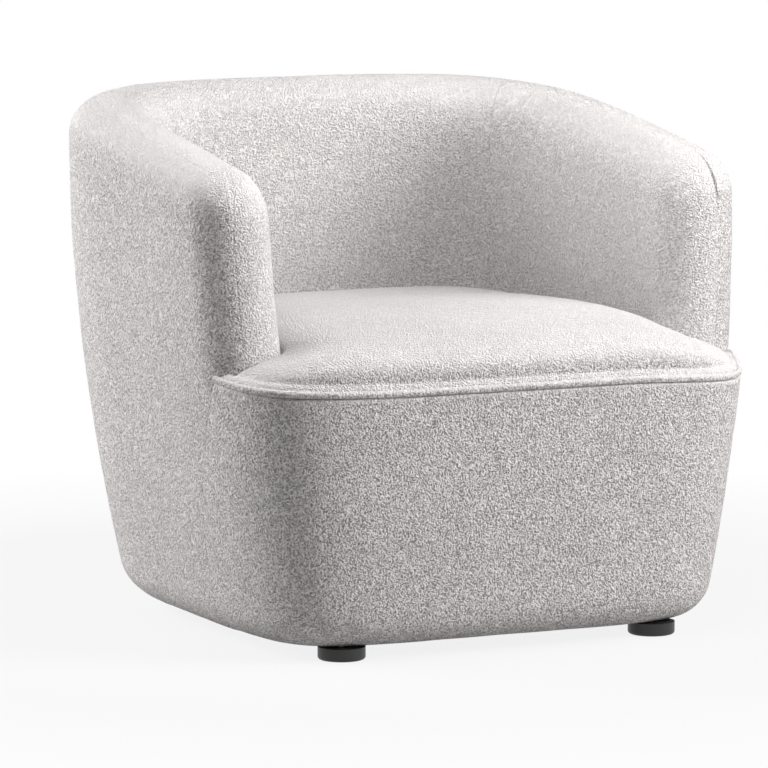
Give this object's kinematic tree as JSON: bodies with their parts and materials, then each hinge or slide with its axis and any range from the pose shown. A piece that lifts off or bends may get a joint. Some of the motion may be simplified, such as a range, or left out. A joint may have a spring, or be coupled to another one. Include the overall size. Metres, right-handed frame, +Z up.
{
  "type": "tub chair",
  "caption": "Low barrel-backed tub chair, upholstered all round, with a crowned seat set between arms that fall to rounded fronts, on short round feet.",
  "frame": {"origin": "centre of the bounding box at floor level", "axes": "+X towards the sitter's left arm, which is the right-hand side seen from the front; +Y from the front panel to the back; +Z up"},
  "size_m": [0.7938, 0.804, 0.6982],
  "materials": {
    "boucle": "curly looped pile, matte",
    "foam": "open-cell, matte",
    "felt": "needled felt, matte",
    "fibreboard": "smooth board, matte",
    "plywood": "sawn plywood, unfinished",
    "solid_wood": "planed, unfinished",
    "steel_wire": "drawn wire",
    "zinc_steel": "zinc plated",
    "dust_cloth": "non-woven cloth, matte",
    "black_plastic": "moulded, satin"
  },
  "bodies": {
    "root": {"outer_cover_left": "boucle", "outer_cover_right": "boucle", "inside_back_cover": "boucle", "inside_arm_cover_left": "boucle", "inside_arm_cover_right": "boucle", "front_cover": "boucle", "seat_cover": "boucle", "seat_welt": "boucle", "back_padding": "foam", "arm_padding_left": "foam", "arm_padding_right": "foam", "arm_front_padding_left": "foam", "arm_front_padding_right": "foam", "front_padding": "foam", "seat_foam": "foam", "felt_pad": "felt", "wall_board": "fibreboard", "wall_liner": "fibreboard", "front_board": "fibreboard", "top_rail": "plywood", "rear_uprights": "plywood", "side_uprights_left": "plywood", "side_uprights_right": "plywood", "front_posts": "solid_wood", "arm_facing_left": "plywood", "arm_facing_right": "plywood", "base_ring": "plywood", "front_seat_rail": "solid_wood", "rear_seat_rail": "solid_wood", "side_seat_rail_left": "solid_wood", "side_seat_rail_right": "solid_wood", "corner_blocks": "solid_wood", "seat_springs": "steel_wire", "spring_clips": "zinc_steel", "frame_screws": "zinc_steel", "dust_cover": "dust_cloth", "foot_front_left": "black_plastic", "foot_front_right": "black_plastic", "foot_rear_left": "black_plastic", "foot_rear_right": "black_plastic", "foot_studs": "zinc_steel", "tee_nuts": "zinc_steel"}
  },
  "joints": []
}
